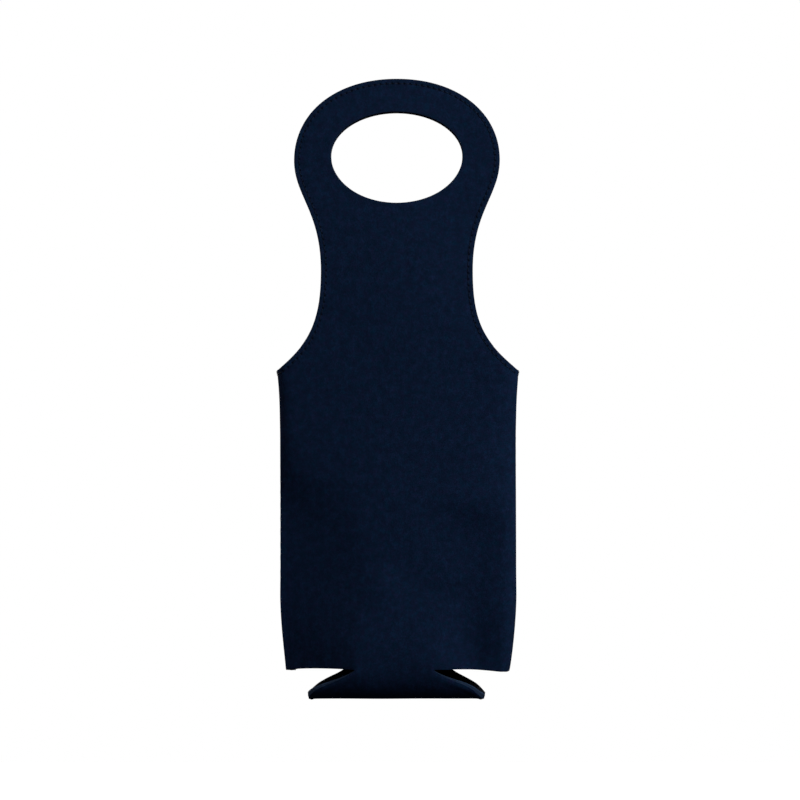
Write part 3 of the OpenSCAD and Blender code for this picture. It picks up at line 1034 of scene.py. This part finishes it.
# Colours, darkest first, each with its place from 0 to 1 on what it follows. FLECK_STOPS holds
# the places for the two knits
FLECK_STOPS = (0.22, 0.5, 0.78)
COVER_SHADES = (linear(3.8, 12.8, 27), linear(8.8, 21.7, 42), linear(15.5, 33, 60))
LINING_SHADES = (linear(4, 7, 13), linear(8, 12, 20), linear(13, 18, 28))
FOAM_SHADES = ((0.3, linear(14, 24, 40)), (0.55, linear(23, 38, 58)), (0.8, linear(35, 52, 74)))
THREAD_SHADES = ((0.2, linear(5, 12, 24)), (0.8, linear(12, 24, 42)))
# What these colours are multiplied by: a cool and a warm tint on the knit, and on the foam's cut
# face painted light that changes from the cover through the middle to the lining: painted shade
# towards the cover and across the middle, and a painted highlight next to the lining
TINTS = ((0.3, (0.4, 1.15, 1.0, 1.0)), (0.7, (1.6, 0.85, 1.0, 1.0)))
CUT_FACE_PAINTED_LIGHT = ((0.0, grey(0.8)), (0.5, grey(0.5)), (1.0, grey(1.5)))


def knit_height(material, cloth):
    """Height of a fine jersey knit: columns of small chevrons."""
    split = material.node("ShaderNodeSeparateXYZ", {0: cloth})
    fold = material.math("PINGPONG", material.math("DIVIDE", split.outputs["X"], WALE_PITCH), 0.5)
    course = material.math("DIVIDE", split.outputs["Y"], COURSE_PITCH)
    slant = material.math("MULTIPLY_ADD", fold, CHEVRON_SLANT, course)
    row = material.math("SINE", material.math("MULTIPLY", slant, 2 * math.pi))
    gutter = material.math("SINE", material.math("MULTIPLY", fold, 2 * math.pi))
    return material.math("MULTIPLY_ADD", row, ROW_SHARE, gutter)


def dimples(material):
    """1 at each needle hole of the stitch line, and 0 away from it: the mask of the dimples' bump
    and of their painted shade.
    """
    edge = material.node("ShaderNodeUVMap", uv_map="edge").outputs["UV"]
    split = material.node("ShaderNodeSeparateXYZ", {0: edge})
    stitch = STITCH_STEP * MM
    count = material.math("SUBTRACT", split.outputs["X"], STITCH_END_GAP * MM)
    along = material.math("PINGPONG", count, stitch / 2)
    across = material.math("SUBTRACT", split.outputs["Y"], STITCH_INSET * MM)
    square = material.math("MULTIPLY_ADD", along, along, material.math("MULTIPLY", across, across))
    share = material.math("DIVIDE", material.math("SQRT", square), DIMPLE_REACH * MM)
    span = {"Value": share, "From Min": 1.0, "From Max": DIMPLE_CORE}
    return material.node("ShaderNodeMapRange", span, interpolation_type="SMOOTHSTEP").outputs[0]


def knit(name, shades, hole):
    """Fine matt knit with a fleck at every scale from a stitch to a fingertip, and painted shade in
    the needle holes.
    """
    made = Material(name)
    cloth = made.node("ShaderNodeUVMap", uv_map="cloth").outputs["UV"]
    fleck = made.noise(made.stretched(cloth, FLECK_STRETCH), *FLECK_NOISE)
    shade = made.ramp(fleck, list(zip(FLECK_STOPS, shades)))
    tint = made.ramp(made.noise(cloth, *TINT_NOISE), TINTS)
    plain = made.mixed(1.0, shade, tint, "MULTIPLY")
    dimple = dimples(made)
    # Painted shade: the needle-hole dimples are darkened towards the hole colour
    colour = made.mixed(made.math("MULTIPLY", dimple, DIMPLE_PAINTED_SHADE), plain, hole)
    rough = made.math("MULTIPLY_ADD", fleck, *MATT_ROUGHNESS)
    nap = made.bump(made.noise(cloth, *NAP_NOISE), NAP_HEIGHT)
    pit = made.bump(made.math("MULTIPLY", dimple, -1.0), DIMPLE_DEPTH, nap)
    normal = made.bump(knit_height(made, cloth), KNIT_HEIGHT, pit)
    return made.finish(colour, rough, normal, KNIT_SPECULAR)


def neoprene_foam():
    """Cut foam: fine closed cells on a matt slate blue, with painted light on its cut face: a
    painted highlight next to the lining.
    """
    made = Material("neoprene_foam")
    spot = made.node("ShaderNodeTexCoord").outputs["Object"]
    voronoi = made.node("ShaderNodeTexVoronoi", {"Vector": spot, "Scale": CELL_SCALE})
    cells = voronoi.outputs["Distance"]
    patch = made.noise(spot, *PATCH_NOISE)
    patches = made.math("MULTIPLY", patch, PATCH_SHARE)
    tone = made.math("MULTIPLY_ADD", cells, CELL_SHARE, patches)
    depth = made.node("ShaderNodeUVMap", uv_map="depth").outputs["UV"]
    depth = made.node("ShaderNodeSeparateXYZ", {0: depth}).outputs["X"]
    depth = made.math("SUBTRACT", depth, COVER_THICKNESS * MM)
    depth = made.math("DIVIDE", depth, FOAM_THICKNESS * MM)
    shade = made.ramp(tone, FOAM_SHADES)
    # Painted light on the cut face: painted shade across its middle, a painted highlight by the
    # lining
    colour = made.mixed(1.0, shade, made.ramp(depth, CUT_FACE_PAINTED_LIGHT), "MULTIPLY")
    rough = made.math("MULTIPLY_ADD", patch, *MATT_ROUGHNESS)
    return made.finish(colour, rough, made.bump(cells, CELL_DEPTH), FOAM_SPECULAR)


def sewing_thread():
    """Twisted polyester thread, near black, with a slight lustre."""
    made = Material("sewing_thread")
    spot = made.node("ShaderNodeTexCoord").outputs["Object"]
    waves = {"Vector": spot, "Scale": TWIST_SCALE, "Distortion": TWIST_DISTORTION}
    twist = made.node("ShaderNodeTexWave", waves, bands_direction="DIAGONAL").outputs[0]
    colour = made.ramp(twist, THREAD_SHADES)
    rough = made.math("MULTIPLY_ADD", twist, *THREAD_ROUGHNESS)
    return made.finish(colour, rough, made.bump(twist, TWIST_HEIGHT), THREAD_SPECULAR)


# The hole colours are painted shade in the needle-hole dimples
COVER = knit("knit_cover", COVER_SHADES, hole=linear(3, 5, 10))
LINING = knit("knit_lining", LINING_SHADES, hole=linear(2, 3, 5))
FOAM = neoprene_foam()
THREAD = sewing_thread()

# The pieces
PATTERN, PATTERN_AREA = pattern_mesh()
# Name, material, material slot and bulge of each layer, from the outside in
LAYERS = (
    ("cover", COVER, "knit_cover", 0.0),
    ("foam", FOAM, "neoprene_foam", FOAM_BULGE),
    ("lining", LINING, "knit_lining", 0.0),
)


def bend_with_handle(piece):
    """Bakes the piece's placement into its mesh."""
    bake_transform(piece)


def build_half(half):
    """The three layers of a half and its stitching, with the CAD nodes that they stand in for
    hidden.
    """
    pieces = {}
    for layer, (name, material, slot, bulge) in enumerate(LAYERS):
        piece = layer_piece(half, name, layer, PATTERN, material, bulge)
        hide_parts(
            f"{half.name}_panel_{name}", f"{half.name}_handle_{name}", f"base_{name}"
        )
        pieces[name] = piece
    threads = stitching(half, THREAD)
    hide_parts(f"{half.name}_handle_stitching", f"{half.name}_shoulder_stitching")
    for piece in [*pieces.values(), threads]:
        bend_with_handle(piece)


for each_half in HALVES:
    build_half(each_half)

for seam_name, seam_side in (("left_side_seam", -1), ("right_side_seam", 1)):
    seam_piece = side_seam(f"{seam_name}_thread", seam_side, THREAD)
    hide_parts(seam_name)
    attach(seam_piece, "sleeve")


# Studio
FLOOR_GAP = 0.16
FLOOR_SIZE = 1.5
FLOOR_GRAIN = 60.0
FLOOR_SHADES = ((0.3, linear(248, 248, 248)), (0.7, linear(252, 252, 252)))
FLOOR_GLOW = 0.6
FLOOR_THROWN = linear(60, 62, 66)
WHITE = (1, 1, 1, 1)
AMBIENT = 0.088
AMBIENT_COLOUR = (1.0, 0.42, 0.52, 1)


def floor():
    """A pale floor below the carrier. It shows white, keeps the shadow and throws back little."""
    half = FLOOR_SIZE / 2
    height = CAD_BOX[0].z - FLOOR_GAP
    corners = [(x * half, y * half, height) for x, y in ((-1, -1), (1, -1), (1, 1), (-1, 1))]
    made = Material("pale_floor")
    grain = made.noise(made.node("ShaderNodeTexCoord").outputs["Object"], FLOOR_GRAIN)
    pale = made.ramp(grain, FLOOR_SHADES)
    seen = made.node("ShaderNodeBsdfDiffuse", {"Color": pale}).outputs[0]
    glow = made.node("ShaderNodeEmission", {"Color": WHITE, "Strength": FLOOR_GLOW}).outputs[0]
    bright = made.node("ShaderNodeAddShader", {0: seen, 1: glow}).outputs[0]
    dull = made.node("ShaderNodeBsdfDiffuse", {"Color": FLOOR_THROWN}).outputs[0]
    seen_directly = made.node("ShaderNodeLightPath").outputs["Is Camera Ray"]
    mix = made.node("ShaderNodeMixShader", {0: seen_directly, 1: dull, 2: bright}).outputs[0]
    made.tree.links.new(mix, made.tree.nodes["Material Output"].inputs["Surface"])
    piece = mesh_object("floor", corners, [(0, 1, 2, 3)], made.made)


def world():
    """White where it is seen, and a dim rose as light."""
    made = bpy.data.worlds.new("studio")
    bpy.context.scene.world = made
    made.use_nodes = True
    tree = made.node_tree
    backdrop = tree.nodes["Background"]
    backdrop.inputs["Color"].default_value = WHITE
    backdrop.inputs["Strength"].default_value = 1.0
    ambient = tree.nodes.new("ShaderNodeBackground")
    ambient.inputs["Color"].default_value = AMBIENT_COLOUR
    ambient.inputs["Strength"].default_value = AMBIENT
    path = tree.nodes.new("ShaderNodeLightPath")
    mix = tree.nodes.new("ShaderNodeMixShader")
    tree.links.new(path.outputs["Is Camera Ray"], mix.inputs[0])
    tree.links.new(ambient.outputs[0], mix.inputs[1])
    tree.links.new(backdrop.outputs[0], mix.inputs[2])
    tree.links.new(mix.outputs[0], tree.nodes["World Output"].inputs["Surface"])


AIM = Vector((0, 0, (CAD_BOX[0].z + CAD_BOX[1].z) / 2))
# Name, degrees round from the front to the right, degrees up, distance and size in metres, and
# the level of white paper at the carrier that faces the lamp
LAMPS = [
    ("key", 53.0, 26.0, 1.0, 0.5, 1.54),
    ("fill", -20.0, 22.0, 1.6, 0.9, 0.1),
    ("back", 160.0, 40.0, 1.5, 0.9, 0.8),
    ("left", -100.0, 15.0, 1.5, 0.9, 0.4),
]


def lamp(name, azimuth, elevation, distance, size, level):
    light = bpy.data.lights.new(name, "AREA")
    light.shape = "SQUARE"
    light.size = size
    light.energy = level * (math.pi * distance) ** 2
    obj = bpy.data.objects.new(name, light)
    bpy.context.scene.collection.objects.link(obj)
    a, e = math.radians(azimuth), math.radians(elevation)
    heading = Vector((math.sin(a) * math.cos(e), -math.cos(a) * math.cos(e), math.sin(e)))
    obj.location = AIM + distance * heading
    obj.rotation_euler = (-heading).to_track_quat("-Z", "Y").to_euler()


# The camera's place in metres, its height above the lowest point, and its lens in millimetres
CAMERA_DISTANCE = 1.3
CAMERA_RIGHT = 0.0015
CAMERA_RISE = 0.1737
CAMERA_LENS = 100.45
SENSOR_WIDTH = 36.0


def camera():
    data = bpy.data.cameras.new("camera")
    data.lens = CAMERA_LENS
    data.sensor_width = SENSOR_WIDTH
    obj = bpy.data.objects.new("camera", data)
    bpy.context.scene.collection.objects.link(obj)
    obj.location = (CAMERA_RIGHT, -CAMERA_DISTANCE, CAD_BOX[0].z + CAMERA_RISE)
    obj.rotation_euler = (math.pi / 2, 0, 0)
    bpy.context.scene.camera = obj


floor()
world()
for facts in LAMPS:
    lamp(*facts)
camera()
bpy.context.scene.view_settings.view_transform = "Standard"
